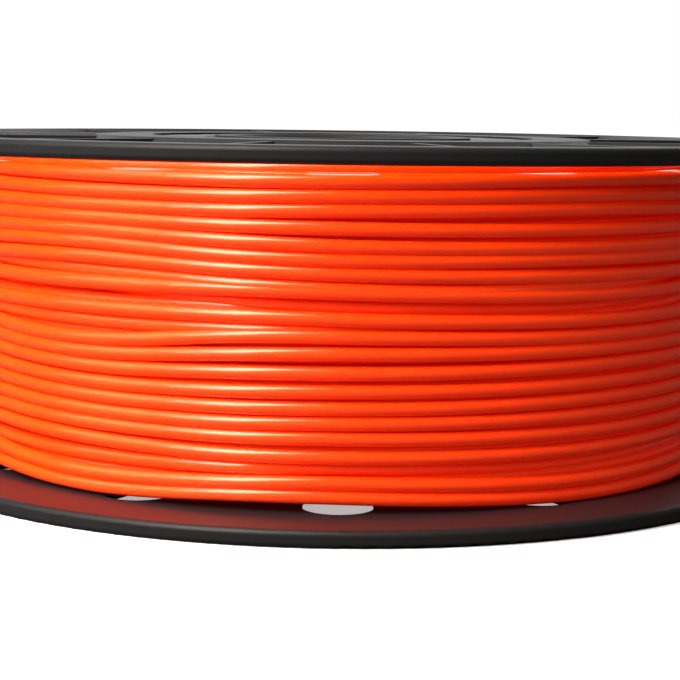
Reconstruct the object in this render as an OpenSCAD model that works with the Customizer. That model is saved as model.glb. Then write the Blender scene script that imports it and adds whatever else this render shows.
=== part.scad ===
// Filament spool, refillable kind: a flanged base with a threaded post, a coil of thick filament
// on a cardboard core, a keyed cover flange and the captive nut that screws the cover down.
// Millimetres, +Z up. The spool lies on the base flange; the origin is on the bore axis there.

/* [Flanges] */
// Outside diameter of both flanges
flange_d = 200; // [198:1:230]
// Clear width between the two flanges
winding_w = 66; // [60:1:78]
// Thickness of a flange at its hub pad and rim band
flange_t = 3.5; // [3:0.1:5]
// Depth of the outer face between hub pad and rim band
web_recess = 1; // [0.6:0.1:1.4]
// Width of the thick band round the rim
rim_band = 5; // [4:0.5:6]
// Radius of the rounded rim edge
rim_round = 1.2; // [0.6:0.1:1.4]
// Width of the flat pad round the hub
hub_pad_w = 12.5; // [8:0.5:14]

/* [Flange windows] */
// Number of windows in each flange
window_count = 12; // [8:1:14]
// Width of one window
window_w = 14; // [8:0.5:16]
// Distance from the cardboard core out to a window
window_inset = 8; // [6:0.5:14]
// Width of a stiffening rib between two windows
web_rib_w = 2; // [1:0.1:3]
// Depth of the ribs below the rim band's face
web_rib_drop = 0.3; // [0.1:0.1:0.5]

/* [Rim holes for the loose end] */
// Distance from the rim band in to the centre of a rim hole
park_inset = 3.5; // [3.2:0.1:3.8]
// Radial room of the filament in a rim hole
park_clear = 0.7; // [0.4:0.1:0.9]

/* [Hub] */
// Diameter of the bore that takes the spool holder
bore_d = 52; // [48:0.5:54]
// Wall of the threaded post, at the root of its thread
post_wall = 3.2; // [2.5:0.1:4]
// Chamfer at each mouth of the bore
bore_chamfer = 0.8; // [0.4:0.1:1.2]
// Wall of the barrel
barrel_wall = 2; // [1.6:0.1:2.6]
// Thickness of the barrel's floor
barrel_floor_t = 2.5; // [2:0.1:4]
// Number of ribs between post and barrel
rib_count = 6; // [3:3:9]
// Thickness of a rib
rib_t = 1.8; // [1.2:0.1:2.4]
// Distance from the barrel's floor to the top of a rib
rib_h = 42; // [20:1:43]

/* [Barrel foot] */
// Radial width of the foot that passes through the base flange
foot_w = 11; // [8:0.5:14]
// Radial reach of a snap lip on the foot
foot_lip = 1; // [0.6:0.1:1.4]
// Height of a snap lip
foot_lip_h = 1.2; // [0.8:0.1:1.4]
// Arc of one snap lip, in degrees
foot_lip_arc = 40; // [20:5:60]
// Radial reach of a drive lug on the foot
lug_reach = 3; // [2:0.1:3.5]
// Width of a drive lug
lug_w = 8; // [5:0.5:12]
// Room round the foot, its lips and its lugs
seat_clear = 0.15; // [0.1:0.05:0.25]

/* [Thread] */
// Rise of the cover in one turn of the nut
thread_lead = 12; // [8:0.5:12]
// Depth of the thread, from root to crest
thread_depth = 1.6; // [1.2:0.1:2]
// Radial room between a crest and the root it faces
thread_clear = 0.2; // [0.15:0.05:0.3]

/* [Cover] */
// Depth of the round dish that takes the nut
dish_depth = 7; // [6:0.5:8]
// Thickness of the dish's floor
dish_floor_t = 2.5; // [2:0.1:3.5]
// Wall of the dish
dish_wall = 2.8; // [2:0.1:3.5]
// Number of keys that stop the cover from turning
key_count = 3; // [3:3:6]
// Width of a key
key_w = 8; // [5:0.5:10]
// Reach of a key below the dish
key_drop = 11.5; // [11.5:0.5:13]
// Part of a key's thickness that lies inside the dish's outer wall
key_root = 2.5; // [2:0.1:2.8]
// Room between a moving piece and the piece that guides it
slide_clear = 0.3; // [0.2:0.05:0.4]

/* [Nut] */
// Wall of the nut's skirt
nut_wall = 3.7; // [3:0.1:4.5]
// Radial width of the nut's head outside the skirt
nut_head_w = 7.9; // [6:0.1:9]
// Height of the nut's skirt below its head
skirt_h = 12; // [10:0.5:13]
// Radial room for a finger at the head's rim
head_gap = 0.9; // [0.6:0.1:1.5]
// Depth of the head's top below the rim band
head_drop = 0.4; // [0.3:0.1:1]
// Number of finger scallops round the head
scallop_count = 12; // [8:1:16]
// Radius of a scallop
scallop_r = 6; // [4:0.5:7]
// Depth of a scallop
scallop_depth = 2.4; // [1.5:0.1:3]
// Chamfer along the head's top edges
head_chamfer = 0.8; // [0.4:0.1:1.2]
// Radial reach of a snap lip under the dish
nut_lip = 1.5; // [1:0.1:1.8]
// Height of a snap lip
nut_lip_h = 1.3; // [1:0.1:2]
// Number of snap fingers on the skirt
finger_count = 4; // [3:1:6]
// Arc of one snap finger's lip, in degrees
nut_lip_arc = 30; // [15:1:40]
// Angle from the end of a lip to the slit beside it
slit_turn = 2; // [1.5:0.1:3]
// Width of the slits that free the snap fingers
slit_w = 1.2; // [0.8:0.1:1.6]

/* [Core] */
// Wall of the cardboard core
core_wall = 3; // [2:0.1:3.5]
// Room between the barrel and the cardboard core
core_clear = 0.4; // [0.3:0.1:0.6]
// Room between the cardboard core and the filament on it
wrap_clear = 0.1; // [0.05:0.05:0.2]

/* [Winding] */
// Diameter of the filament
filament_d = 2.85; // [2.7:0.05:2.9]
// Outside diameter of the winding
winding_d = 172; // [168:1:173]
// Least distance between neighbouring turns, centre to centre
turn_pitch_min = 3.05; // [3:0.01:3.3]
// Extra distance where the lay leaves a gap
lay_gap = 1.9; // [1:0.1:2.2]
// Turns below the lower and the upper gap, counted at the front
gap_turns = [1, 10];
// Room between an end turn and its flange
end_clear = 0.1; // [0.1:0.05:0.3]
// Depth that the first stretch lies below the outer layer
climb_depth = 2.7; // [2:0.1:2.8]
// Room round the first stretch in its groove, and under the outer layer
bed_clear = 0.2; // [0.15:0.05:0.4]
// Height of the loose end above the outer layer where it crosses it
cross_lift = 3.5; // [3.4:0.1:3.8]
// Drop of the loose end below the last turn, before it bends up
end_dip = 11; // [10:0.5:13]
// Radius of the loose end's bend into the rim hole
end_bend_r = 7; // [6:0.5:8]

/* [Hidden] */

round_fn = 96;
over = 0.5;

// Radii, from the bore outwards
bore_r = bore_d / 2;
post_r = bore_r + post_wall;
nut_bore_r = post_r + thread_depth + thread_clear;
skirt_r = nut_bore_r + nut_wall;
dish_hole_r = skirt_r + slide_clear;
head_r = skirt_r + nut_head_w;
dish_r = head_r + head_gap;
dish_out_r = dish_r + dish_wall;
barrel_in_r = dish_out_r + slide_clear;
barrel_r = barrel_in_r + barrel_wall;
core_in_r = barrel_r + core_clear;
core_r = core_in_r + core_wall;
foot_r = post_r + foot_w;
flange_r = flange_d / 2;
hub_pad_r = dish_r + hub_pad_w;
band_r = flange_r - rim_band;
park_r = band_r - park_inset;

// Heights, from the base flange's outer face upwards
inner_z = flange_t;
cover_z = inner_z + winding_w;
top_z = cover_z + flange_t;
inside_h = winding_w - slide_clear;
dish_floor_top = top_z - dish_depth;
dish_floor_z = dish_floor_top - dish_floor_t;
head_z = dish_floor_top + slide_clear;
head_top = top_z - head_drop;
skirt_z = head_z - skirt_h;
key_z = dish_floor_z - key_drop;
key_slot_z = key_z - slide_clear;
key_out_r = core_in_r - 2 * core_clear;

// Windows, each a slot with round ends
window_r = window_w / 2;
window_in = core_r + window_inset + window_r;
window_out = winding_d / 2 - window_r;

// Outer layer: a helix that rises clockwise, seen from above, between the two flanges
fil_r = filament_d / 2;
ring_sides = 6;
turn_rings = 24;
climb_rings = 4;
free_rings = 7;
bend_rings = 4;
half_turn = 0.5;
cross_turns = 0.3;
lift_share = 0.4;
front_angle = -90;
lay_r = winding_d / 2 - fil_r;
bed_r = lay_r * cos(180 / turn_rings) - fil_r - bed_clear;
first_z = inner_z + fil_r + end_clear;
last_z = cover_z - fil_r - end_clear;
lay_h = last_z - first_z - lay_gap * len(gap_turns);
climb_turns = climb_rings / turn_rings;
turns = floor(lay_h / turn_pitch_min - climb_turns);
turn_pitch = lay_h / (turns + climb_turns);
start_u = -half_turn - climb_turns;
end_u = turns - half_turn;
free_turns = free_rings / turn_rings;
free_u = end_u + free_turns;
approach_r = sqrt(pow(park_r, 2) - pow(end_bend_r, 2));
park_angle = turn_angle(free_u) - asin(end_bend_r / park_r);

function turn_angle(u) = front_angle - 360 * u;
function ease(x) = let(t = max(0, min(1, x))) t * t * (3 - 2 * t);
function sum(list, i = 0) = i < len(list) ? list[i] + sum(list, i + 1) : 0;
function polar(r, a, z) = [r * cos(a), r * sin(a), z];
function unit(v) = v / norm(v);

// Height and radius of the filament's centre after u turns from the front of the first one
function gaps_below(u) = sum([for (g = gap_turns) ease((u - g - half_turn) / cross_turns + half_turn)]);
function lay_z(u) = first_z + turn_pitch * (min(u, end_u) - start_u) + lay_gap * gaps_below(u);
function climb(u) = climb_depth * (1 - ease((u - start_u) / climb_turns));
function rise_share(u) = ease((u - end_u) / free_turns / lift_share);
function reach_share(u) = ease(((u - end_u) / free_turns - lift_share) / (1 - lift_share));
function free_lift(u) = cross_lift * rise_share(u) + (approach_r - lay_r - cross_lift) * reach_share(u);
function route_r(u) = u > end_u ? lay_r + free_lift(u) : lay_r - climb(u);
function route_z(u) = lay_z(u) - (u > end_u ? end_dip * reach_share(u) : 0);
function route_point(u) = polar(route_r(u), turn_angle(u), route_z(u));

// The bend from the layer's direction up into the rim hole, and the straight end in it
approach_out = polar(1, turn_angle(free_u), 0);
approach_dir = polar(1, turn_angle(free_u) - 90, 0);
approach_z = lay_z(free_u) - end_dip;
function bend_point(t) = approach_out * approach_r + approach_dir * (end_bend_r * sin(t))
    + [0, 0, approach_z + end_bend_r * (1 - cos(t))];

start_dir = polar(1, turn_angle(start_u) - 90, 0);
winding_route = concat(
    [route_point(start_u), route_point(start_u) + start_dir * filament_d],
    [for (i = [1 : round((free_u - start_u) * turn_rings) - 1]) route_point(start_u + i / turn_rings)],
    [for (i = [0 : bend_rings]) bend_point(90 * i / bend_rings)],
    [[bend_point(90)[0], bend_point(90)[1], top_z - slide_clear]]);
route_count = len(winding_route);

// One ring of corners round a route point, square to the route, two corners on its radius
function route_dir(i) = i == 0 ? start_dir
    : i >= route_count - 2 ? [0, 0, 1]
    : unit(winding_route[i + 1] - winding_route[i - 1]);
function outward(i) = let(p = winding_route[i], q = unit([p[0], p[1], 0]), d = route_dir(i))
    unit(q - (q * d) * d);
function ring_corners(i) = let(e = outward(i), n = cross(route_dir(i), e))
    [for (k = [0 : ring_sides - 1]) let(a = 360 * k / ring_sides)
        winding_route[i] + fil_r * (cos(a) * e + sin(a) * n)];
winding_points = [for (i = [0 : route_count - 1]) each ring_corners(i)];

// Least distance from a ring's corners to those of the rings about one turn before it
function ring_gap(i, j) = min([for (a = [0 : ring_sides - 1]) for (b = [0 : ring_sides - 1])
    norm(winding_points[i * ring_sides + a] - winding_points[j * ring_sides + b])]);
function least_gap() = min([for (i = [turn_rings : route_count - 1])
    for (k = [-1 : 1]) for (turn = [1 : i > route_count - 2 * turn_rings ? 4 : 1])
        let(j = i - turn * turn_rings + k) if (j >= 0 && j < i - 2) ring_gap(i, j)]);

// Straight wall of a ring from r1 to r2, between two heights
module ring(r1, r2, z1, z2) {
    translate([0, 0, z1])
        difference() {
            cylinder(r = r2, h = z2 - z1, $fn = round_fn);
            translate([0, 0, -over])
                cylinder(r = r1, h = z2 - z1 + 2 * over, $fn = round_fn);
        }
}

// The same shape count times round the axis, the first one turned by offset_angle
module around(count, offset_angle = 0) {
    for (i = [0 : count - 1])
        rotate([0, 0, offset_angle + 360 * i / count])
            children();
}

module window_slot() {
    for (r = [window_in, window_out])
        translate([r, 0, -over])
            cylinder(r = window_r, h = flange_t + 2 * over, $fn = round_fn);
    translate([window_in, -window_r, -over])
        cube([window_out - window_in, window_w, flange_t + 2 * over]);
}

// A flange with its outer face down: hub pad, ribbed web, windows, rim holes and rounded rim
module flange_plate(hole_r) {
    rim_r = flange_r - rim_round;
    difference() {
        union() {
            rotate_extrude($fn = round_fn) {
                polygon([[hole_r, 0], [hub_pad_r, 0], [hub_pad_r + web_recess, web_recess],
                         [band_r - web_recess, web_recess], [band_r, 0], [rim_r, 0],
                         [rim_r, flange_t], [hole_r, flange_t]]);
                translate([rim_r, rim_round])
                    square([rim_round, flange_t - 2 * rim_round]);
                for (z = [rim_round, flange_t - rim_round])
                    translate([rim_r, z])
                        circle(r = rim_round, $fn = round_fn);
            }
            around(window_count, 180 / window_count)
                translate([hub_pad_r, -web_rib_w / 2, web_rib_drop])
                    cube([band_r - hub_pad_r, web_rib_w, web_recess]);
        }
        around(window_count)
            window_slot();
        around(2, park_angle)
            translate([park_r, 0, -over])
                cylinder(r = fil_r + park_clear, h = flange_t + 2 * over, $fn = round_fn);
    }
}

module base_flange() {
    lip_seat_r = foot_r + foot_lip + seat_clear;
    color("#1d1e20")
        difference() {
            flange_plate(foot_r + seat_clear);
            translate([0, 0, -over])
                cylinder(r = lip_seat_r, h = foot_lip_h + seat_clear + over, $fn = round_fn);
            around(key_count)
                translate([0, -lug_w / 2 - seat_clear, -over])
                    cube([foot_r + lug_reach + seat_clear, lug_w + 2 * seat_clear, flange_t + 2 * over]);
        }
}

module barrel() {
    floor_top = inner_z + barrel_floor_t;
    lip_turn = 180 / key_count - foot_lip_arc / 2;
    color("#232427")
        difference() {
            union() {
                cylinder(r = post_r, h = top_z, $fn = round_fn);
                cylinder(r = foot_r, h = inner_z, $fn = round_fn);
                around(key_count, lip_turn)
                    rotate_extrude(angle = foot_lip_arc, $fn = round_fn)
                        polygon([[post_r, 0], [foot_r + foot_lip / 2, 0], [foot_r + foot_lip, foot_lip_h],
                                 [post_r, foot_lip_h]]);
                around(key_count)
                    translate([post_r, -lug_w / 2, 0])
                        cube([foot_r + lug_reach - post_r, lug_w, inner_z]);
                translate([0, 0, inner_z])
                    cylinder(r = barrel_r, h = barrel_floor_t, $fn = round_fn);
                difference() {
                    ring(barrel_in_r, barrel_r, inner_z, inner_z + inside_h);
                    around(key_count)
                        translate([0, -key_w / 2 - slide_clear, key_slot_z])
                            cube([core_r, key_w + 2 * slide_clear, top_z]);
                }
                around(rib_count, 180 / rib_count)
                    translate([post_r - post_wall / 2, -rib_t / 2, floor_top - barrel_floor_t / 2])
                        cube([barrel_in_r + barrel_wall / 2 - post_r + post_wall / 2, rib_t,
                              rib_h + barrel_floor_t / 2]);
            }
            translate([0, 0, -over])
                cylinder(r = bore_r, h = top_z + 2 * over, $fn = round_fn);
            for (end = [0, 1])
                translate([0, 0, end * top_z])
                    mirror([0, 0, end])
                        translate([0, 0, -over])
                            cylinder(r1 = bore_r + bore_chamfer + over, r2 = bore_r,
                                     h = bore_chamfer + over, $fn = round_fn);
        }
}

module core_tube() {
    color("#b08d62")
        ring(core_in_r, core_r, inner_z, inner_z + inside_h);
}

// The inner layers as one solid, with the groove in which the outer layer's filament climbs
module filament_core() {
    groove_r = (lay_r - climb_depth) * cos(180 / turn_rings) - fil_r - bed_clear;
    groove_top = first_z + fil_r + bed_clear;
    groove_arc = 360 * (climb_rings + 1) / turn_rings;
    color("#d8330f")
        difference() {
            ring(core_r + wrap_clear, bed_r, inner_z, inner_z + inside_h);
            rotate([0, 0, turn_angle(start_u) - groove_arc])
                rotate_extrude(angle = groove_arc, $fn = round_fn)
                    translate([groove_r, inner_z - over])
                        square([lay_r - groove_r, groove_top - inner_z + over]);
        }
}

// The outer layer as one unbroken length of filament, from its climb to its end in the rim hole
module filament_outer_layer() {
    last = (route_count - 1) * ring_sides;
    sides = [for (i = [0 : route_count - 2]) for (k = [0 : ring_sides - 1])
        let(a = i * ring_sides + k, b = i * ring_sides + (k + 1) % ring_sides)
            each [[a, a + ring_sides, b], [b, a + ring_sides, b + ring_sides]]];
    start_cap = [for (k = [1 : ring_sides - 2]) [0, k, k + 1]];
    end_cap = [for (k = [1 : ring_sides - 2]) [last, last + k + 1, last + k]];
    echo(least_gap_between_turns = least_gap(), turns = turns, turn_pitch = turn_pitch);
    color("#f24a14")
        polyhedron(points = winding_points, faces = concat(start_cap, sides, end_cap), convexity = 20);
}

module cover_flange() {
    color("#1d1e20")
        difference() {
            union() {
                translate([0, 0, top_z])
                    mirror([0, 0, 1])
                        flange_plate(dish_r);
                ring(dish_r, dish_out_r, dish_floor_z, top_z - web_recess);
                ring(dish_hole_r, dish_r + dish_wall / 2, dish_floor_z, dish_floor_top);
                around(key_count)
                    translate([dish_out_r - key_root, -key_w / 2, key_z])
                        cube([key_out_r - dish_out_r + key_root, key_w, cover_z - key_z]);
            }
            translate([0, 0, dish_floor_top])
                cylinder(r = dish_r, h = top_z, $fn = round_fn);
        }
}

module lock_nut() {
    lip_z = dish_floor_z - slide_clear - nut_lip_h;
    lip_in_r = nut_bore_r + nut_wall / 2;
    color("#35373b")
        difference() {
            union() {
                rotate_extrude($fn = round_fn)
                    polygon([[nut_bore_r, skirt_z], [skirt_r, skirt_z], [skirt_r, head_z], [head_r, head_z],
                             [head_r, head_top - head_chamfer], [head_r - head_chamfer, head_top],
                             [nut_bore_r + head_chamfer, head_top], [nut_bore_r, head_top - head_chamfer]]);
                around(finger_count, -nut_lip_arc / 2)
                    rotate_extrude(angle = nut_lip_arc, $fn = round_fn)
                        polygon([[lip_in_r, lip_z], [skirt_r + nut_lip, lip_z + nut_lip_h / 2],
                                 [skirt_r + nut_lip, lip_z + nut_lip_h], [lip_in_r, lip_z + nut_lip_h]]);
            }
            around(scallop_count)
                translate([head_r + scallop_r - scallop_depth, 0, head_z - over])
                    cylinder(r = scallop_r, h = head_top - head_z + 2 * over, $fn = round_fn);
            for (side = [-1, 1])
                around(finger_count, side * (nut_lip_arc / 2 + slit_turn))
                    translate([nut_bore_r - over, -slit_w / 2, skirt_z - over])
                        cube([nut_wall + 2 * over, slit_w, dish_floor_z - skirt_z + over]);
        }
}

base_flange();
barrel();
core_tube();
filament_core();
filament_outer_layer();
cover_flange();
lock_nut();
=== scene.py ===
"""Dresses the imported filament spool: the wound filament, the moulded flanges and hub, the screw threads,
the cardboard core, and a plain studio with its camera. Sizes are written in millimetres and built in metres,
+Z up. The spool lies on its base flange with its bore on the Z axis, and -Y is the front."""

import logging
import math
from collections.abc import Callable
from dataclasses import dataclass, field
from enum import Enum

import bpy
from mathutils import Matrix, Vector


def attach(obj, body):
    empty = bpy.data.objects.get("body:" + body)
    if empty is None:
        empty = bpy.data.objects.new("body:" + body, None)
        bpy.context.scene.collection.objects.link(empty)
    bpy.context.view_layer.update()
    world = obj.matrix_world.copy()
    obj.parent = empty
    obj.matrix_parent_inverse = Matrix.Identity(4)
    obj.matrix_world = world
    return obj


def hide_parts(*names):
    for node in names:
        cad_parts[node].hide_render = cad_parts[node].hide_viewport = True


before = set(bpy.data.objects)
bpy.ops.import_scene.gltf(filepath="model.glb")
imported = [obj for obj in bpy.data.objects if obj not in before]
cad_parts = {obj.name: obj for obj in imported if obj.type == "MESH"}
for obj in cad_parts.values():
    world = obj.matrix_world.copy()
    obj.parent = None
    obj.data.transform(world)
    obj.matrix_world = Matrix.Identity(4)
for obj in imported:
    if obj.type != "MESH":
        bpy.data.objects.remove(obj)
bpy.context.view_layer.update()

MM = 0.001
MERGE = 1e-6  # metres below which two vertices are one
log = logging.getLogger("spool")

Point = tuple[float, float, float]


# ---------------------------------------------------------------- small helpers

class Side(Enum):
    """Which face of a thread a ridge stands on."""

    MALE = 1
    FEMALE = -1


def linear(code: str) -> tuple[float, float, float, float]:
    """Turns an sRGB colour into Blender's linear colour.

    Args:
        code: the colour as a hex value such as "#f4430f".

    Returns:
        Red, green, blue and an alpha of 1, each from 0 to 1.
    """
    parts = [int(code[i : i + 2], 16) / 255 for i in (1, 3, 5)]
    return tuple(c / 12.92 if c <= 0.04045 else ((c + 0.055) / 1.055) ** 2.4 for c in parts) + (1.0,)


def ease(x: float) -> float:
    """Returns 0 below x = 0, 1 above x = 1, and a smooth rise between them."""
    t = max(0.0, min(1.0, x))
    return t * t * (3 - 2 * t)


def through(knots: list[tuple[float, float]], x: float) -> float:
    """Reads a smooth line through a few points, level at its two ends.

    Next to each end the line keeps the slope of the stretch inside, so that only what lies outside bends back.

    Args:
        knots: the points (x, y) in order of x.
        x: where to read the line.

    Returns:
        The line's y, which is that of the nearest end outside the points.
    """
    if x <= knots[0][0]:
        return knots[0][1]
    if x >= knots[-1][0]:
        return knots[-1][1]
    i = max(j for j in range(len(knots) - 1) if knots[j][0] <= x)
    last = len(knots) - 1
    slopes = []
    for j in (i, i + 1):
        low, high = (max(j - 1, 1), min(j + 1, last - 1)) if 0 < j < last else (j, j)
        slopes.append((knots[high][1] - knots[low][1]) / (knots[high][0] - knots[low][0]) if low < high else 0.0)
    (x0, y0), (x1, y1) = knots[i], knots[i + 1]
    h = x1 - x0
    t = (x - x0) / h
    return (
        y0 * (1 + 2 * t) * (1 - t) ** 2
        + slopes[0] * h * t * (1 - t) ** 2
        + y1 * t * t * (3 - 2 * t)
        + slopes[1] * h * t * t * (t - 1)
    )


def add_node(
    tree: bpy.types.NodeTree, kind: str, settings: dict | None = None, links: dict | None = None
) -> bpy.types.Node:
    """Adds one node to a material with its settings and links.

    Args:
        tree: the material's node tree.
        kind: the node's type name without "ShaderNode".
        settings: attributes by name, and socket values by socket name or number.
        links: for each input, by name or number, the node output that feeds it.

    Returns:
        The new node.
    """
    node = tree.nodes.new("ShaderNode" + kind)
    for key, value in (settings or {}).items():
        if isinstance(key, str) and hasattr(node, key):
            setattr(node, key, value)
        else:
            node.inputs[key].default_value = value
    for key, source in (links or {}).items():
        tree.links.new(source, node.inputs[key])
    return node


def new_material(name: str) -> tuple[bpy.types.Material, bpy.types.NodeTree]:
    """Makes an empty node material.

    Args:
        name: the material's name.

    Returns:
        The material and its node tree.
    """
    material = bpy.data.materials.new(name)
    material.use_nodes = True
    material.node_tree.nodes.clear()
    return material, material.node_tree


def ramp(
    tree: bpy.types.NodeTree, source: bpy.types.NodeSocket, low: float, high: float, out_low: float, out_high: float
) -> bpy.types.NodeSocket:
    """Maps a pattern's values from one range to another.

    Args:
        tree: the material's node tree.
        source: the output that is mapped.
        low: the source value that gives out_low.
        high: the source value that gives out_high.
        out_low: the result at low.
        out_high: the result at high.

    Returns:
        The mapped output.
    """
    node = add_node(tree, "MapRange", {1: low, 2: high, 3: out_low, 4: out_high}, {0: source})
    return node.outputs[0]


def noise(
    tree: bpy.types.NodeTree, where: bpy.types.NodeSocket, size: float, detail: float
) -> bpy.types.NodeSocket:
    """Adds an even noise.

    Args:
        tree: the material's node tree.
        where: the output that gives the place on the piece.
        size: the distance from one patch to the next in mm.
        detail: how many finer layers it has.

    Returns:
        The noise, most of it between 0.3 and 0.7.
    """
    return add_node(tree, "TexNoise", {"Scale": 1 / (size * MM), "Detail": detail}, {"Vector": where}).outputs[0]


def between(
    tree: bpy.types.NodeTree, share: bpy.types.NodeSocket, first: str, second: str
) -> bpy.types.NodeSocket:
    """Mixes two colours.

    Args:
        tree: the material's node tree.
        share: the output that says how much of the second colour there is.
        first: the first sRGB colour as a hex value.
        second: the second sRGB colour as a hex value.

    Returns:
        The mixed colour.
    """
    mix = add_node(tree, "Mix", {"data_type": "RGBA"}, {"Factor": share})
    mix.inputs["A"].default_value = linear(first)
    mix.inputs["B"].default_value = linear(second)
    return next(o for o in mix.outputs if o.type == "RGBA")


def end_surface(tree: bpy.types.NodeTree, settings: dict, links: dict) -> None:
    """Ends a material with a Principled surface of these socket values and links."""
    shader = add_node(tree, "BsdfPrincipled", settings, links)
    add_node(tree, "OutputMaterial", links={"Surface": shader.outputs[0]})


def deselect() -> None:
    """Deselects every object, so that an operator acts on new ones alone."""
    bpy.ops.object.select_all(action="DESELECT")


def only(piece: bpy.types.Object) -> None:
    """Makes an object the one that is selected and active.

    Args:
        piece: the object.
    """
    deselect()
    piece.select_set(True)
    bpy.context.view_layer.objects.active = piece


def select_verts(piece: bpy.types.Object, test: Callable[[Vector], bool]) -> None:
    """Selects the vertices of piece that pass a test, and opens edit mode on them.

    Args:
        piece: the object to edit.
        test: a function of a vertex's place that says whether it is taken.
    """
    only(piece)
    bpy.ops.object.mode_set(mode="EDIT")
    bpy.ops.mesh.select_mode(type="VERT")
    bpy.ops.mesh.select_all(action="DESELECT")
    bpy.ops.object.mode_set(mode="OBJECT")
    for vertex in piece.data.vertices:
        vertex.select = test(vertex.co)
    bpy.ops.object.mode_set(mode="EDIT")


def tidy_mesh(piece: bpy.types.Object) -> None:
    """Merges doubled vertices and turns every face outwards.

    Args:
        piece: the object to tidy.
    """
    only(piece)
    bpy.ops.object.mode_set(mode="EDIT")
    bpy.ops.mesh.select_all(action="SELECT")
    bpy.ops.mesh.remove_doubles(threshold=MERGE)
    bpy.ops.mesh.normals_make_consistent(inside=False)
    bpy.ops.object.mode_set(mode="OBJECT")


def apply_modifier(piece: bpy.types.Object, kind: str, **settings: object) -> None:
    """Adds a modifier with its settings and applies it at once.

    Args:
        piece: the object that is changed.
        kind: the modifier's type.
        settings: its attributes.
    """
    only(piece)
    modifier = piece.modifiers.new(kind.lower(), kind)
    for key, value in settings.items():
        setattr(modifier, key, value)
    bpy.ops.object.modifier_apply(modifier=modifier.name)


def place(
    piece: bpy.types.Object, name: str, finish: bpy.types.Material, body: str,
    stands_for: tuple[str, ...] = (), smooth_angle: float = 35.0,
) -> None:
    """Puts a finished piece in the model: its place in its mesh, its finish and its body.

    Args:
        piece: the object, at any place.
        name: the piece's name.
        finish: its material.
        body: the body that it rides on.
        stands_for: the CAD nodes that it replaces.
        smooth_angle: edges sharper than this angle, in degrees, stay sharp.
    """
    only(piece)
    piece.name = piece.data.name = name
    bpy.ops.object.transform_apply(location=True, rotation=True, scale=True)
    bpy.ops.object.shade_smooth_by_angle(angle=math.radians(smooth_angle))
    piece.data.materials.clear()
    piece.data.materials.append(finish)
    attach(piece, body)
    if stands_for:
        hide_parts(*stands_for)
    deselect()
    log.info("%s: %d faces, rides on %s", name, len(piece.data.polygons), body)


# ---------------------------------------------------------------- finishes

@dataclass(frozen=True)
class ExtrudedFilament:
    """PLA filament as it leaves the die: an opaque pigmented plastic with a clear gloss, faint die lines
    along its length, and a colour that drifts a little from one metre to the next."""

    colour: str = "#f84709"
    colour_deep: str = "#f54108"
    gloss_index: float = 1.6
    gloss_tint: str = "#ffe8c0"
    roughness: float = 0.29
    drawn: float = 0.9  # how much further the gloss spreads round the strand than along it, over the die lines
    polish: float = 1.0  # share of the sharper gloss from the polished die
    polish_index: float = 1.6
    polish_tint: str = "#fff4e4"
    polish_roughness: float = 0.06
    painted_bounce_colour: str = "#ff1400"
    painted_bounce_glow: float = 0.06  # painted glow: a faint red emitted all over the filament, standing in for red light that the turns pass on to one another
    filament_d: float = 2.85
    die_line: float = 0.25  # mm between die lines; the real ones are about 0.05, drawn coarser to show
    line_length: float = 60.0  # mm along which a die line changes
    shade_patch: float = 35.0  # mm from one shade of the pigment to the next

    def build(self, name: str, length: float) -> bpy.types.Material:
        """Makes the material for one length of filament.

        Args:
            name: the material's name.
            length: the filament's length in mm, which the UV map's long side spans.

        Returns:
            The material.
        """
        material, tree = new_material(name)
        coords = add_node(tree, "TexCoord")
        lines = (length / self.line_length, math.pi * self.filament_d / self.die_line, 1.0)
        lined = add_node(tree, "Mapping", {"Scale": lines}, {"Vector": coords.outputs["UV"]})
        die = add_node(tree, "TexNoise", {"Scale": 1.0, "Detail": 2.0}, {"Vector": lined.outputs[0]})
        drift = noise(tree, coords.outputs["Object"], self.shade_patch, 3.0)
        colour = between(tree, ramp(tree, drift, 0.35, 0.65, 0, 1), self.colour, self.colour_deep)
        rough = ramp(tree, drift, 0.3, 0.7, self.roughness - 0.02, self.roughness + 0.03)
        bump = add_node(tree, "Bump", {"Strength": 0.06, "Distance": 0.02 * MM}, {"Height": die.outputs[0]})
        along = add_node(tree, "Tangent", {"direction_type": "UV_MAP"})
        end_surface(
            tree,
            {
                "Anisotropic": self.drawn, "Anisotropic Rotation": 0.25,
                "IOR": self.gloss_index, "Specular IOR Level": 1.0, "Specular Tint": linear(self.gloss_tint),
                "Coat Weight": self.polish, "Coat Roughness": self.polish_roughness, "Coat IOR": self.polish_index,
                "Coat Tint": linear(self.polish_tint),
                # Red light goes about a millimetre into the pigmented plastic, the rest far less.
                "Subsurface Weight": 0.5, "Subsurface Radius": (1.0, 0.2, 0.05), "Subsurface Scale": 1.0 * MM,
                # The emission is a painted glow in place of the red light that the turns pass on to one another.
                "Emission Color": linear(self.painted_bounce_colour), "Emission Strength": self.painted_bounce_glow,
            },
            {"Base Color": colour, "Roughness": rough, "Normal": bump.outputs[0], "Tangent": along.outputs[0]},
        )
        return material


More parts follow.
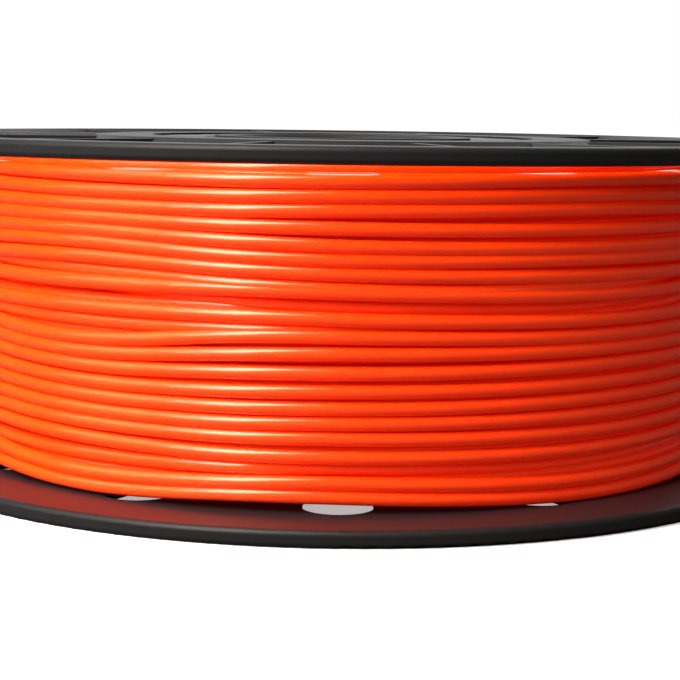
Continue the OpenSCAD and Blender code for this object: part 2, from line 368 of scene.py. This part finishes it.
@dataclass(frozen=True)
class MouldedPlastic:
    """Injection-moulded polystyrene or nylon from a spark-eroded mould: an even fine grain that breaks up
    the gloss, slow changes of sheen where the melt cooled, and edges rubbed a little paler."""

    name: str
    colour: str
    edge_colour: str
    roughness: float
    index: float = 1.58
    grain: float = 0.45  # mm; the real grain is about 0.1, drawn coarser to show
    grain_strength: float = 0.35
    grain_depth: float = 0.04  # mm
    sheen_patch: float = 40.0  # mm from one sheen to the next
    scuff: float = 6.0  # mm from one rubbed spot of an edge to the next

    def build(self) -> bpy.types.Material:
        """Makes the material.

        Returns:
            The material.
        """
        material, tree = new_material(self.name)
        coords = add_node(tree, "TexCoord")
        where = coords.outputs["Object"]
        rubbed = add_node(tree, "Attribute", {"attribute_name": "rubbed"})
        worn = add_node(
            tree, "Math", {"operation": "MULTIPLY"}, {0: rubbed.outputs["Fac"], 1: noise(tree, where, self.scuff, 4.0)}
        )
        colour = between(tree, worn.outputs[0], self.colour, self.edge_colour)
        sheen = noise(tree, where, self.sheen_patch, 2.0)
        rough = ramp(tree, sheen, 0.3, 0.7, self.roughness - 0.04, self.roughness + 0.05)
        bump = add_node(
            tree, "Bump", {"Strength": self.grain_strength, "Distance": self.grain_depth * MM},
            {"Height": noise(tree, where, self.grain, 2.0)},
        )
        end_surface(
            tree, {"IOR": self.index}, {"Base Color": colour, "Roughness": rough, "Normal": bump.outputs[0]}
        )
        return material


@dataclass(frozen=True)
class WoundCardboard:
    """Grey-brown core board, wound in a spiral from glued strips: matt, with short fibres and a thin dark
    line where one strip meets the next."""

    colour: str = "#b08d62"
    fibre_colour: str = "#8f6d45"
    strip: float = 38.0  # mm, height of one strip of the spiral
    seam: float = 0.015  # width of the dark line, as a share of the strip
    fibre: float = 1.2  # mm from one fibre to the next
    roughness: float = 0.85

    def build(self) -> bpy.types.Material:
        """Makes the material.

        Returns:
            The material.
        """
        material, tree = new_material("core_board")
        coords = add_node(tree, "TexCoord")
        xyz = add_node(tree, "SeparateXYZ", links={0: coords.outputs["Object"]})
        angle = add_node(tree, "Math", {"operation": "ARCTAN2"}, {0: xyz.outputs[1], 1: xyz.outputs[0]})
        turns = add_node(tree, "Math", {"operation": "DIVIDE", 1: 2 * math.pi}, {0: angle.outputs[0]})
        rise = add_node(tree, "Math", {"operation": "DIVIDE", 1: self.strip * MM}, {0: xyz.outputs[2]})
        both = add_node(tree, "Math", {"operation": "ADD"}, {0: turns.outputs[0], 1: rise.outputs[0]})
        saw = add_node(tree, "Math", {"operation": "FRACT"}, {0: both.outputs[0]})
        seam = ramp(tree, saw.outputs[0], 0.0, self.seam, 1.0, 0.0)
        fibre = noise(tree, coords.outputs["Object"], self.fibre, 5.0)
        streaks = ramp(tree, fibre, 0.35, 0.75, 0.0, 0.6)
        shade = add_node(tree, "Math", {"operation": "MAXIMUM"}, {0: seam, 1: streaks})
        colour = between(tree, shade.outputs[0], self.colour, self.fibre_colour)
        bump = add_node(tree, "Bump", {"Strength": 0.4, "Distance": 0.1 * MM}, {"Height": fibre})
        end_surface(tree, {"Roughness": self.roughness}, {"Base Color": colour, "Normal": bump.outputs[0]})
        return material


@dataclass(frozen=True)
class StudioPaper:
    """Matt white background paper. To the camera it is a little brighter than its light makes it near the
    spool, where it keeps the shadow, and plain white farther off, so that it has no edge."""

    colour: str = "#f2f2f0"
    unseen_colour: str = "#303030"  # what everything but the camera meets
    lift: float = 0.45  # glow that the camera sees at the spool
    near: float = 0.15  # metres from the spool's axis within which the lift stays as it is
    far: float = 0.6  # metres from the axis beyond which the paper is plain white
    tooth: float = 3.0  # mm

    def build(self) -> bpy.types.Material:
        """Makes the material.

        Returns:
            The material.
        """
        material, tree = new_material("studio_paper")
        coords = add_node(tree, "TexCoord")
        tooth = noise(tree, coords.outputs["Object"], self.tooth, 3.0)
        bump = add_node(tree, "Bump", {"Strength": 0.05, "Distance": 0.05 * MM}, {"Height": tooth})
        camera = add_node(tree, "LightPath").outputs["Is Camera Ray"]
        away = add_node(tree, "VectorMath", {"operation": "LENGTH"}, {0: coords.outputs["Object"]})
        lift = ramp(tree, away.outputs["Value"], self.near, self.far, self.lift, 1.0)
        seen = add_node(tree, "Math", {"operation": "MULTIPLY"}, {0: lift, 1: camera})
        colour = between(tree, camera, self.unseen_colour, self.colour)
        end_surface(
            tree,
            {"Roughness": 0.9, "Specular IOR Level": 0.1, "Emission Color": (1.0, 1.0, 1.0, 1.0)},
            {"Base Color": colour, "Normal": bump.outputs[0], "Emission Strength": seen.outputs[0]},
        )
        return material


# ---------------------------------------------------------------- the wound filament

# Height of each turn of the outer layer above the middle of the winding, in mm, from the lowest turn up:
# 27 and 14 degrees left of the front, at the front, and 27 degrees right of it.
FRONT_LAY = (
    (-30.9, -30.05, -30.0, -31.3),
    (-28.35, -27.7, -27.35, -28.5),
    (-21.95, -22.35, -22.4, -22.6),
    (-18.75, -18.9, -18.85, -19.1),
    (-16.15, -16.2, -15.95, -15.9),
    (-13.3, -13.25, -13.1, -12.9),
    (-10.45, -10.2, -9.9, -9.75),
    (-7.2, -6.65, -6.45, -6.25),
    (-4.25, -3.2, -2.75, -3.0),
    (-1.4, 0.2, 0.5, -0.2),
    (4.15, 4.1, 3.75, 2.9),
    (9.05, 9.1, 8.8, 7.8),
    (13.7, 12.9, 12.25, 11.6),
    (16.4, 15.4, 14.85, 14.7),
    (18.9, 18.15, 17.5, 17.0),
    (21.45, 21.05, 20.8, 20.45),
    (24.0, 23.9, 24.1, 24.3),
    (26.7, 26.6, 26.75, 26.95),
    (29.7, 29.5, 29.5, 29.9),
)

# Turns of the layer below that come up between two outer turns near the front. For each, counted from the
# lowest: angle to the right of the front in radians, height above the middle, depth below the outer layer.
RISING_TURNS = {
    3: ((-0.9, -25.2, 1.6), (-0.47, -24.95, 0.9), (-0.2, -24.9, 0.9), (0.0, -24.7, 1.9), (0.47, -25.4, 2.7)),
    12: ((-0.9, 1.5, 1.3), (-0.47, 1.45, 0.95), (-0.3, 1.5, 0.7), (-0.12, 1.45, 0.55), (0.1, 1.7, 2.2)),
    13: ((-0.47, 5.5, 2.2), (-0.3, 5.55, 2.5), (-0.22, 5.2, 2.6), (-0.15, 4.4, 2.65), (0.0, 3.9, 2.65),
         (0.47, 3.4, 2.65)),
    14: ((-0.47, 7.9, 2.7), (-0.24, 6.8, 2.3), (-0.08, 6.05, 2.4), (0.2, 5.7, 2.5), (0.47, 5.3, 2.6)),
    15: ((-0.9, 11.6, 1.6), (-0.47, 11.1, 0.9), (-0.3, 10.35, 0.3), (-0.15, 9.8, 0.1), (0.0, 9.4, 0.15),
         (0.3, 8.9, 0.25), (0.6, 9.3, 0.8)),
}


@dataclass
class Winding:
    """The filament on its core: the outer layer with its loose end, the layer below it, and the inner layers.

    Lengths are in mm, angles in radians to the right of the front, and stretches of the strand in turns.
    """

    filament_d: float = 2.85
    winding_d: float = 172.0
    lower_z: float = 3.5  # inner face of the lower flange
    upper_z: float = 69.5  # inner face of the upper flange
    end_clear: float = 0.1
    turns: int = 19
    lay_gap: float = 1.9  # width of a gap between two turns
    gap_turns: tuple[int, ...] = (1, 10)  # the turns that a gap follows
    cross_turns: float = 0.3  # how much of a turn the strand takes to cross a gap
    climb_turns: float = 4 / 24  # the outer layer's climb out of the layer below
    climb_depth: float = 2.7
    free_turns: float = 7 / 24  # the loose end, from the last turn to its bend
    cross_lift: float = 3.5  # how far the loose end rises off the winding to pass over the last turn
    lift_share: float = 0.4
    end_dip: float = 11.0
    bend_r: float = 7.0
    bend_steps: int = 12
    park_r: float = 91.5  # the rim hole that the loose end is parked in
    tip_z: float = 72.7
    core_r: float = 52.0
    under_turns: int = 21
    under_depth: float = 2.65
    handover: float = 0.25  # where the layer below sinks to the depth that the climb starts from
    drift_reach: float = 1.5  # how far from the front the lay wanders
    lay_angles: tuple[float, ...] = (-0.47, -0.24, 0.0, 0.47)  # the columns of FRONT_LAY
    rings_a_turn: int = 128
    side_step: float = 2.8  # least step outwards of the end turns
    side_climb: float = 0.18  # the part of each end turn that steps outwards
    side_rings: int = 96
    body_clear: float = 0.1
    body_inset: float = 0.4
    body_edge: float = 0.6
    body_wrap: float = 1000.0  # length of filament that the body's UV map stands for
    finish: ExtrudedFilament = field(default_factory=ExtrudedFilament)

    def __post_init__(self) -> None:
        """Works out the sizes that follow from the fields, in mm."""
        self.wire_r = self.filament_d / 2
        self.lay_r = self.winding_d / 2 - self.wire_r
        self.first_z = self.lower_z + self.wire_r + self.end_clear
        self.last_z = self.upper_z - self.wire_r - self.end_clear
        self.middle_z = (self.lower_z + self.upper_z) / 2
        lay_h = self.last_z - self.first_z - self.lay_gap * len(self.gap_turns)
        self.pitch = lay_h / (self.turns + self.climb_turns)
        self.start_u = -0.5 - self.climb_turns
        self.end_u = self.turns - 0.5
        self.free_u = self.end_u + self.free_turns
        self.approach_r = math.sqrt(self.park_r**2 - self.bend_r**2)

    def turn_angle(self, u: float) -> float:
        """Returns the angle about the Z axis after u turns from the front, which run clockwise from above."""
        return -math.pi / 2 - 2 * math.pi * u

    def even_z(self, u: float) -> float:
        """Returns the outer layer's height after u turns, as the winder's guide sets it."""
        gaps = sum(ease((u - g - 0.5) / self.cross_turns + 0.5) for g in self.gap_turns)
        return self.first_z + self.pitch * (min(u, self.end_u) - self.start_u) + self.lay_gap * gaps

    def front_drift(self, u: float) -> float:
        """Returns how far the strand lies above its even height near the front, where the lay wanders.

        Args:
            u: turns from the front of the lowest turn.

        Returns:
            The distance in mm, and 0 away from the front.
        """
        k = round(u)
        side = 2 * math.pi * (k - u)
        if not 0 <= k < len(FRONT_LAY) or abs(side) >= self.drift_reach:
            return 0.0
        knots = [(-self.drift_reach, 0.0)]
        for angle, height in zip(self.lay_angles, FRONT_LAY[k]):
            knots.append((angle, height + self.middle_z - self.even_z(k - angle / (2 * math.pi))))
        knots.append((self.drift_reach, 0.0))
        return through(knots, side)

    def outer_point(self, u: float) -> Point:
        """Finds where the outer layer's strand runs.

        Args:
            u: turns from the front of the lowest turn.

        Returns:
            The strand's centre in mm.
        """
        share = (u - self.end_u) / self.free_turns
        reach = ease((share - self.lift_share) / (1 - self.lift_share))
        radius = self.lay_r - self.climb_depth * (1 - ease((u - self.start_u) / self.climb_turns))
        height = self.even_z(u) + self.front_drift(u)
        if u > self.end_u:
            radius += self.cross_lift * ease(share / self.lift_share)
            radius += (self.approach_r - self.lay_r - self.cross_lift) * reach
            height -= self.end_dip * reach
        angle = self.turn_angle(u)
        return radius * math.cos(angle), radius * math.sin(angle), height

    def outer_route(self) -> list[Point]:
        """Finds the whole outer layer's route: its climb, its turns, and its end in the rim hole.

        Returns:
            The centre line in mm.
        """
        steps = round((self.free_u - self.start_u) * self.rings_a_turn)
        route = [self.outer_point(self.start_u + (self.free_u - self.start_u) * i / steps) for i in range(steps + 1)]
        angle = self.turn_angle(self.free_u)
        out = Vector((math.cos(angle), math.sin(angle), 0))
        along = Vector((math.sin(angle), -math.cos(angle), 0))
        base_z = self.even_z(self.free_u) - self.end_dip
        for i in range(1, self.bend_steps + 1):
            t = math.pi / 2 * i / self.bend_steps
            spot = out * self.approach_r + along * (self.bend_r * math.sin(t))
            route.append((spot.x, spot.y, base_z + self.bend_r * (1 - math.cos(t))))
        route.append((route[-1][0], route[-1][1], self.tip_z))
        return route

    def under_point(self, s: float) -> Point:
        """Finds where the strand of the layer below runs.

        Args:
            s: turns left before it meets the outer layer's start.

        Returns:
            The strand's centre in mm.
        """
        u = self.start_u - s
        rise = (self.last_z - self.first_z) / self.under_turns
        height = self.first_z + rise * s
        depth = self.under_depth - (self.under_depth - self.climb_depth) * ease(1 - s / self.handover)
        n = round(-u)
        side = 2 * math.pi * (-u - n)
        if n in RISING_TURNS and abs(side) < self.drift_reach:
            ends = [
                (a, self.first_z - self.middle_z + rise * (n + a / (2 * math.pi) + self.start_u), self.under_depth)
                for a in (-self.drift_reach, self.drift_reach)
            ]
            knots = [ends[0], *RISING_TURNS[n], ends[1]]
            height = through([(a, z + self.middle_z) for a, z, _ in knots], side)
            depth = through([(a, d) for a, _, d in knots], side)
        angle = self.turn_angle(u)
        radius = self.lay_r - depth
        return radius * math.cos(angle), radius * math.sin(angle), height

    def under_route(self) -> list[Point]:
        """Returns the centre line of the layer below, from its top to where the outer layer takes over."""
        steps = self.under_turns * self.rings_a_turn
        return [self.under_point(self.under_turns * (1 - i / steps)) for i in range(steps + 1)]

    def side_route(self, z: float, first_angle: float) -> list[Point]:
        """Finds the route of the inner layers' end turns against one flange, which step outwards once a turn.

        Args:
            z: the height of the strands' centres in mm.
            first_angle: where the first step lies, in radians.

        Returns:
            The centre line in mm.
        """
        outer = self.lay_r - 2 * self.under_depth
        inner = self.core_r + self.end_clear + self.wire_r
        layers = int((outer - inner) / self.side_step)
        step = (outer - inner) / layers
        route = []
        for i in range(layers * self.side_rings + 1):
            turn, part = divmod(i, self.side_rings)
            radius = inner + step * (turn + ease(1 - (1 - part / self.side_rings) / self.side_climb))
            angle = first_angle - 2 * math.pi * i / self.side_rings
            route.append((radius * math.cos(angle), radius * math.sin(angle), z))
        return route

    def wire(self, name: str, route: list[Point], sides: int) -> tuple[bpy.types.Object, float]:
        """Makes one length of filament along a route.

        Args:
            name: the piece's name.
            route: its centre line in mm.
            sides: corners round its section.

        Returns:
            The mesh object and the filament's length in mm.
        """
        curve = bpy.data.curves.new(name, "CURVE")
        curve.dimensions = "3D"
        curve.bevel_depth = self.wire_r * MM
        curve.bevel_resolution = sides // 2 - 2
        curve.use_fill_caps = True
        spline = curve.splines.new("POLY")
        spline.points.add(len(route) - 1)
        for point, (x, y, z) in zip(spline.points, route):
            point.co = (x * MM, y * MM, z * MM, 1.0)
        piece = bpy.data.objects.new(name, curve)
        bpy.context.scene.collection.objects.link(piece)
        only(piece)
        bpy.ops.object.convert(target="MESH")
        piece = bpy.context.view_layer.objects.active
        tidy_mesh(piece)
        length = sum(math.dist(a, b) for a, b in zip(route, route[1:]))
        return piece, length

    def build_body(self) -> bpy.types.Object:
        """Makes the inner layers as one ring under the last two, with rounded edges.

        Returns:
            The mesh object.
        """
        radius = (self.lay_r - self.under_depth - self.wire_r - self.body_clear) * MM
        low, high = (self.first_z + self.body_inset) * MM, (self.last_z - self.body_inset) * MM
        deselect()
        bpy.ops.mesh.primitive_cylinder_add(
            vertices=self.rings_a_turn, radius=radius, depth=high - low, location=(0, 0, (low + high) / 2)
        )
        body = bpy.context.object
        bpy.ops.object.mode_set(mode="EDIT")
        bpy.ops.mesh.select_mode(type="FACE")
        bpy.ops.mesh.select_all(action="DESELECT")
        bpy.ops.object.mode_set(mode="OBJECT")
        for face in body.data.polygons:
            face.select = abs(face.normal.z) > 0.9
        bpy.ops.object.mode_set(mode="EDIT")
        bpy.ops.mesh.inset(thickness=radius - (self.core_r + self.end_clear) * MM, use_individual=True)
        bpy.ops.mesh.bridge_edge_loops()
        bpy.ops.object.mode_set(mode="OBJECT")
        tidy_mesh(body)
        apply_modifier(
            body, "BEVEL", width=self.body_edge * MM, segments=3, limit_method="ANGLE", angle_limit=math.radians(50)
        )
        return body

    def build(self) -> None:
        """Builds and dresses every piece of the winding."""
        for name, route, sides, stands_for in (
            ("outer_turns", self.outer_route(), 16, ("filament_outer_layer",)),
            ("under_turns", self.under_route(), 12, ()),
            ("side_turns_lower", self.side_route(self.first_z, 0.6), 12, ()),
            ("side_turns_upper", self.side_route(self.last_z, 2.4), 12, ()),
        ):
            strand, length = self.wire(name, route, sides)
            finish = self.finish.build("filament_" + name.removesuffix("_turns"), length)
            place(strand, name, finish, "base", stands_for, 50)
            log.info("%s: %.2f m of filament", name, length * MM)
        finish = self.finish.build("filament_body", self.body_wrap)
        place(self.build_body(), "winding_body", finish, "base", ("filament_core",))


# ---------------------------------------------------------------- the moulded pieces

@dataclass
class Moulding:
    """A moulded piece with the exact form of its CAD node and its edges softened, as a mould leaves them."""

    node: str
    name: str
    body: str
    slot: str
    finish: MouldedPlastic | WoundCardboard
    edge: float = 0.25  # mm

    def soften_edges(self, piece: bpy.types.Object) -> None:
        """Rounds the sharp edges a little, and marks the rounded strips as rubbed for the finish to read.

        Args:
            piece: the object to soften.
        """
        piece.data.materials.clear()
        for _ in range(2):
            piece.data.materials.append(None)
        apply_modifier(
            piece, "BEVEL", width=self.edge * MM, segments=2, limit_method="ANGLE", angle_limit=math.radians(30),
            material=1,
        )
        marks = piece.data.attributes.new("rubbed", "FLOAT", "FACE")
        for face, mark in zip(piece.data.polygons, marks.data):
            mark.value = float(face.material_index)
            face.material_index = 0

    def build(self) -> bpy.types.Object:
        """Makes, places and dresses the piece.

        Returns:
            The finished piece.
        """
        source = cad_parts[self.node]
        piece = bpy.data.objects.new(self.name, source.data.copy())
        bpy.context.scene.collection.objects.link(piece)
        only(piece)
        bpy.ops.mesh.customdata_custom_splitnormals_clear()
        bpy.ops.object.mode_set(mode="EDIT")
        bpy.ops.mesh.select_all(action="SELECT")
        bpy.ops.mesh.remove_doubles(threshold=MERGE)
        bpy.ops.mesh.dissolve_limited(angle_limit=math.radians(0.5))
        bpy.ops.object.mode_set(mode="OBJECT")
        self.soften_edges(piece)
        place(piece, self.name, self.finish.build(), self.body, (self.node,), 28)
        for face in piece.data.polygons:
            face.use_smooth = abs(face.normal.z) < 0.999
        return piece


@dataclass
class Flange(Moulding):
    """A flange, with its rim shaded as the true round that the facets of the CAD mesh stand for."""

    middle_z: float = 1.75  # mm
    round_centre_r: float = 98.8  # mm
    straight_h: float = 1.1  # mm of the rim between its upper and its lower round

    def rim_normal(self, spot: Vector) -> Vector:
        """Finds the direction square to the rounded rim.

        Args:
            spot: a place on the rim.

        Returns:
            The direction, of length 1.
        """
        half = self.straight_h / 2 * MM
        rise = spot.z - self.middle_z * MM
        share = 1 - self.round_centre_r * MM / math.hypot(spot.x, spot.y)
        return Vector((spot.x * share, spot.y * share, rise - max(-half, min(half, rise)))).normalized()

    def build(self) -> bpy.types.Object:
        """Makes the flange and gives its rim the directions of a true round.

        Returns:
            The finished flange.
        """
        piece = super().build()
        mesh = piece.data
        normals = [corner.vector.copy() for corner in mesh.corner_normals]
        for face in mesh.polygons:
            spots = [mesh.vertices[index].co for index in face.vertices]
            inner = min(math.hypot(spot.x, spot.y) for spot in spots)
            if face.use_smooth and inner > (self.round_centre_r - 0.01) * MM:
                for corner, spot in zip(face.loop_indices, spots):
                    normals[corner] = self.rim_normal(spot)
        mesh.normals_split_custom_set(normals)
        return piece


@dataclass
class ScrewThread:
    """A four-start right-hand thread: trapezoid ridges that run out at both ends. Lengths are in mm."""

    side: Side
    root_r: float
    crest_r: float
    low_z: float
    high_z: float
    lead: float = 12.0
    starts: int = 4
    root_w: float = 1.7
    crest_w: float = 0.9
    sunk: float = 0.3  # how deep a ridge's foot lies in the wall that carries it
    run_out_sunk: float = 0.1  # how deep the crest ends in that wall
    edge: float = 0.12
    steps_a_turn: int = 72
    run_out: int = 7  # steps over which a ridge runs out

    def build_ridge(self) -> bpy.types.Object:
        """Makes one closed ridge, wound up from its section.

        Returns:
            The mesh object.
        """
        turns = (self.high_z - self.low_z - self.root_w) / self.lead
        steps = round(turns * self.steps_a_turn)
        root = self.root_r - self.sunk * self.side.value
        deselect()
        bpy.ops.mesh.primitive_plane_add(
            size=1.0, location=((root + self.crest_r) / 2 * MM, 0, (self.low_z + self.root_w / 2) * MM),
            rotation=(math.pi / 2, 0, 0),
        )
        ridge = bpy.context.object
        ridge.scale = (abs(self.crest_r - root) * MM, self.root_w * MM, 1.0)
        bpy.ops.object.transform_apply(location=True, rotation=True, scale=True)
        select_verts(ridge, self.on_crest)
        bpy.ops.transform.resize(value=(1, 1, self.crest_w / self.root_w))
        bpy.ops.mesh.select_all(action="SELECT")
        bpy.ops.mesh.delete(type="ONLY_FACE")
        bpy.ops.object.mode_set(mode="OBJECT")
        corners = len(ridge.data.vertices)
        apply_modifier(
            ridge, "SCREW", axis="Z", angle=2 * math.pi * turns, screw_offset=self.lead * MM * turns,
            steps=steps, render_steps=steps, use_smooth_shade=False,
        )
        self.run_out_ends(ridge, corners)
        only(ridge)
        bpy.ops.object.mode_set(mode="EDIT")
        bpy.ops.mesh.select_all(action="SELECT")
        bpy.ops.mesh.fill_holes(sides=corners)
        bpy.ops.object.mode_set(mode="OBJECT")
        tidy_mesh(ridge)
        return ridge

    def on_crest(self, spot: Vector) -> bool:
        """Returns whether a place on a ridge, in metres, is on its crest."""
        return abs(math.hypot(spot.x, spot.y) - self.crest_r * MM) < 0.1 * MM

    def run_out_ends(self, ridge: bpy.types.Object, corners: int) -> None:
        """Lets the crest sink into the wall at both ends of a ridge.

        Args:
            ridge: the ridge, its vertices in order from its low end up.
            corners: how many vertices one section has.
        """
        rings = len(ridge.data.vertices) // corners
        end_r = (self.root_r - self.run_out_sunk * self.side.value) * MM
        for i, vertex in enumerate(ridge.data.vertices):
            if self.on_crest(vertex.co):
                ring = i // corners
                left = 1 - ease(min(ring, rings - 1 - ring) / self.run_out)
                radius = math.hypot(vertex.co.x, vertex.co.y)
                scale = (radius + (end_r - radius) * left) / radius
                vertex.co.x *= scale
                vertex.co.y *= scale

    def build(self, name: str, finish: MouldedPlastic, body: str, slot: str) -> bpy.types.Object:
        """Makes the thread's ridges as one piece.

        Args:
            name: the piece's name.
            finish: its finish.
            body: the body that it rides on.
            slot: the record's material slot; not used.

        Returns:
            The finished piece.
        """
        ridge = self.build_ridge()
        if self.side is Side.FEMALE:
            # The nut's ridges lie half way between the post's.
            ridge.data.transform(Matrix.Rotation(-math.pi / self.starts, 4, "Z"))
        copies = []
        for i in range(1, self.starts):
            copy = bpy.data.objects.new(name, ridge.data.copy())
            bpy.context.scene.collection.objects.link(copy)
            copy.data.transform(Matrix.Rotation(2 * math.pi * i / self.starts, 4, "Z"))
            copies.append(copy)
        only(ridge)
        for copy in copies:
            copy.select_set(True)
        bpy.ops.object.join()
        apply_modifier(
            ridge, "BEVEL", width=self.edge * MM, segments=1, limit_method="ANGLE", angle_limit=math.radians(30)
        )
        place(ridge, name, finish.build(), body, (), 28)
        return ridge


# ---------------------------------------------------------------- studio and camera

@dataclass
class Softbox:
    """A rectangular lamp that faces the front of the winding. Its edges are given as seen from there."""

    name: str
    azimuth: tuple[float, float]  # degrees to the right of the camera
    elevation: tuple[float, float]  # degrees above level
    brightness: float
    distance: float = 1.1  # metres
    colour: str = "#ffffff"
    mirrored: bool = True  # whether it shows in the gloss
    passes: bool = False  # whether its light passes the overhang
    aim: Point = (0.0, -0.086, 0.0365)  # metres

    def build(self, overhang: bpy.types.Collection) -> None:
        """Adds the lamp, which lights the spool and isn't seen itself.

        Args:
            overhang: what throws no shadow from the lamps that pass it.
        """
        middle = math.radians(sum(self.azimuth) / 2)
        rise = math.radians(sum(self.elevation) / 2)
        width, height = (
            2 * self.distance * math.tan(math.radians(abs(high - low)) / 2)
            for low, high in (self.azimuth, self.elevation)
        )
        width *= math.cos(rise)
        lamp = bpy.data.lights.new(self.name, "AREA")
        lamp.shape = "RECTANGLE"
        lamp.size, lamp.size_y = width, height
        lamp.energy = self.brightness * math.pi * width * height
        lamp.color = linear(self.colour)[:3]
        away = Vector((math.sin(middle) * math.cos(rise), -math.cos(middle) * math.cos(rise), math.sin(rise)))
        holder = bpy.data.objects.new(self.name, lamp)
        bpy.context.scene.collection.objects.link(holder)
        holder.location = Vector(self.aim) + away * self.distance
        holder.rotation_euler = away.to_track_quat("Z", "Y").to_euler()
        holder.visible_camera = False
        holder.visible_glossy = self.mirrored
        if self.passes:
            holder.light_linking.blocker_collection = overhang


@dataclass
class Studio:
    """White paper under and behind the spool, soft lamps from the left, and the camera."""

    ambient: float = 0.06
    floor_w: float = 12.0  # metres
    camera_distance: float = 0.35  # metres
    camera_pitch: float = 7.15  # degrees
    camera_roll: float = 0.76  # degrees
    lens: float = 99.5  # mm
    look_at: Point = (0.0, -0.085975, 0.0367)  # metres

    def build_floor(self) -> None:
        """Lays the white paper that the spool lies on."""
        deselect()
        bpy.ops.mesh.primitive_plane_add(size=self.floor_w, location=(0, 0, 0))
        floor = bpy.context.object
        bpy.ops.object.mode_set(mode="EDIT")
        bpy.ops.mesh.subdivide(number_cuts=3)
        bpy.ops.object.mode_set(mode="OBJECT")
        floor.name = "floor"
        floor.data.materials.append(StudioPaper().build())

    def build_world(self) -> None:
        """Sets an even dim light all round, seen as plain white behind the spool."""
        world = bpy.data.worlds.new("studio")
        bpy.context.scene.world = world
        world.use_nodes = True
        tree = world.node_tree
        tree.nodes.clear()
        path = add_node(tree, "LightPath")
        strength = ramp(tree, path.outputs["Is Camera Ray"], 0, 1, self.ambient, 1.0)
        background = add_node(tree, "Background", {"Color": (1.0, 1.0, 1.0, 1.0)}, {"Strength": strength})
        add_node(tree, "OutputWorld", links={"Surface": background.outputs[0]})

    def build_lamps(self, cover: bpy.types.Object) -> None:
        """Adds the lamps: a key from the left in two widths, a pale wall beside it, and weak fills.

        The lamps from the left throw no shadow of the cover's rim, which would leave the top turns without
        the gloss that the others have.

        Args:
            cover: the cover flange.
        """
        overhang = bpy.data.collections.new("overhang")
        overhang.objects.link(cover)
        for entry in overhang.collection_objects:
            entry.light_linking.link_state = "EXCLUDE"
        for softbox in (
            Softbox("key_core", (-28.5, -49), (30, 69), 4.6, 1.1, "#fffaf2", passes=True),
            Softbox("key_wide", (-25, -59), (18, 76), 2.7, 1.15, "#fffaf2", passes=True),
            Softbox("left_wall", (-50, -100), (18, 72), 1.1, 1.35, "#ffead0", passes=True),
            Softbox("left_glow", (-50, -105), (4, 68), 18.0, 1.3, "#fff6ea", mirrored=False, passes=True),
            Softbox("front_fill", (-18, 36), (-4, 34), 2.5, 1.2, "#ffccb8", mirrored=False),
            Softbox("back_fill", (150, 210), (15, 55), 1.6, 1.4),
        ):
            softbox.build(overhang)

    def build_camera(self) -> None:
        """Sets the camera low in front of the winding, looking a little down on it."""
        pitch, roll = math.radians(self.camera_pitch), math.radians(self.camera_roll)
        back = Vector((0, -math.cos(pitch), math.sin(pitch)))
        right = Vector((1, 0, 0))
        up = back.cross(right)
        turned_right = right * math.cos(roll) + up * math.sin(roll)
        turned_up = up * math.cos(roll) - right * math.sin(roll)
        spot = Vector(self.look_at) + back * self.camera_distance
        lens = bpy.data.cameras.new("camera")
        lens.lens = self.lens
        lens.clip_start = 0.01
        camera = bpy.data.objects.new("camera", lens)
        bpy.context.scene.collection.objects.link(camera)
        camera.matrix_world = Matrix.Translation(spot) @ Matrix((turned_right, turned_up, back)).transposed().to_4x4()
        bpy.context.scene.camera = camera

    def build(self, cover: bpy.types.Object) -> None:
        """Builds the whole studio round the spool.

        Args:
            cover: the cover flange.
        """
        bpy.context.scene.view_settings.view_transform = "Standard"
        self.build_camera()
        self.build_world()
        self.build_lamps(cover)
        self.build_floor()


FLANGE = MouldedPlastic("flange_polystyrene", "#141517", "#303236", 0.45)
BARREL = MouldedPlastic("barrel_polystyrene", "#1b1c1e", "#36383c", 0.47)
NUT = MouldedPlastic("nut_nylon", "#35373b", "#55585d", 0.5)


def build_spool() -> bpy.types.Object:
    """Builds and dresses the spool itself, piece by piece.

    Returns:
        The cover flange.
    """
    Winding().build()
    Flange("base_flange", "lower_flange", "base", "flange_plastic", FLANGE).build()
    Moulding("barrel", "hub_barrel", "base", "barrel_plastic", BARREL).build()
    cover = Flange("cover_flange", "upper_flange", "cover", "flange_plastic", FLANGE, middle_z=71.25).build()
    Moulding("lock_nut", "ring_nut", "nut", "nut_plastic", NUT).build()
    Moulding("core_tube", "board_core", "base", "core_cardboard", WoundCardboard(), 0.4).build()
    ScrewThread(Side.MALE, 29.2, 30.8, 50.5, 72.0).build("post_thread", BARREL, "base", "barrel_plastic")
    ScrewThread(Side.FEMALE, 31.0, 29.4, 55.3, 71.8).build("nut_thread", NUT, "nut", "nut_plastic")
    return cover


def main() -> None:
    """Builds the studio and the spool."""
    logging.basicConfig(level=logging.INFO, format="%(name)s: %(message)s")
    Studio().build(build_spool())


if __name__ == "__main__":
    main()
